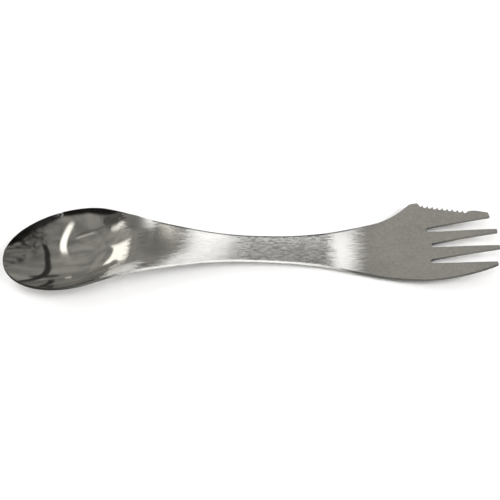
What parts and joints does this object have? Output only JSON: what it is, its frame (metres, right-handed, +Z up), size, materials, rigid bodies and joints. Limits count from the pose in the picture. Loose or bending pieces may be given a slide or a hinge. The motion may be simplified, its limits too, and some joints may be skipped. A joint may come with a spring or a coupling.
{
  "type": "spork",
  "caption": "One-piece pressed steel spork: a spoon bowl at one end, a fork with a short saw edge on one side at the other, and a slim waist to hold between them.",
  "frame": {"origin": "middle of the length and width, on the table that the spork lies on, bowl up", "axes": "+X from the spoon's tip to the tines, +Y to the side with the saw edge, +Z up out of the bowl"},
  "size_m": [0.1699, 0.0366, 0.0088],
  "materials": {
    "steel": "brushed waist, satin fork, polished bowl"
  },
  "bodies": {
    "root": {"spork": "steel"}
  },
  "joints": []
}
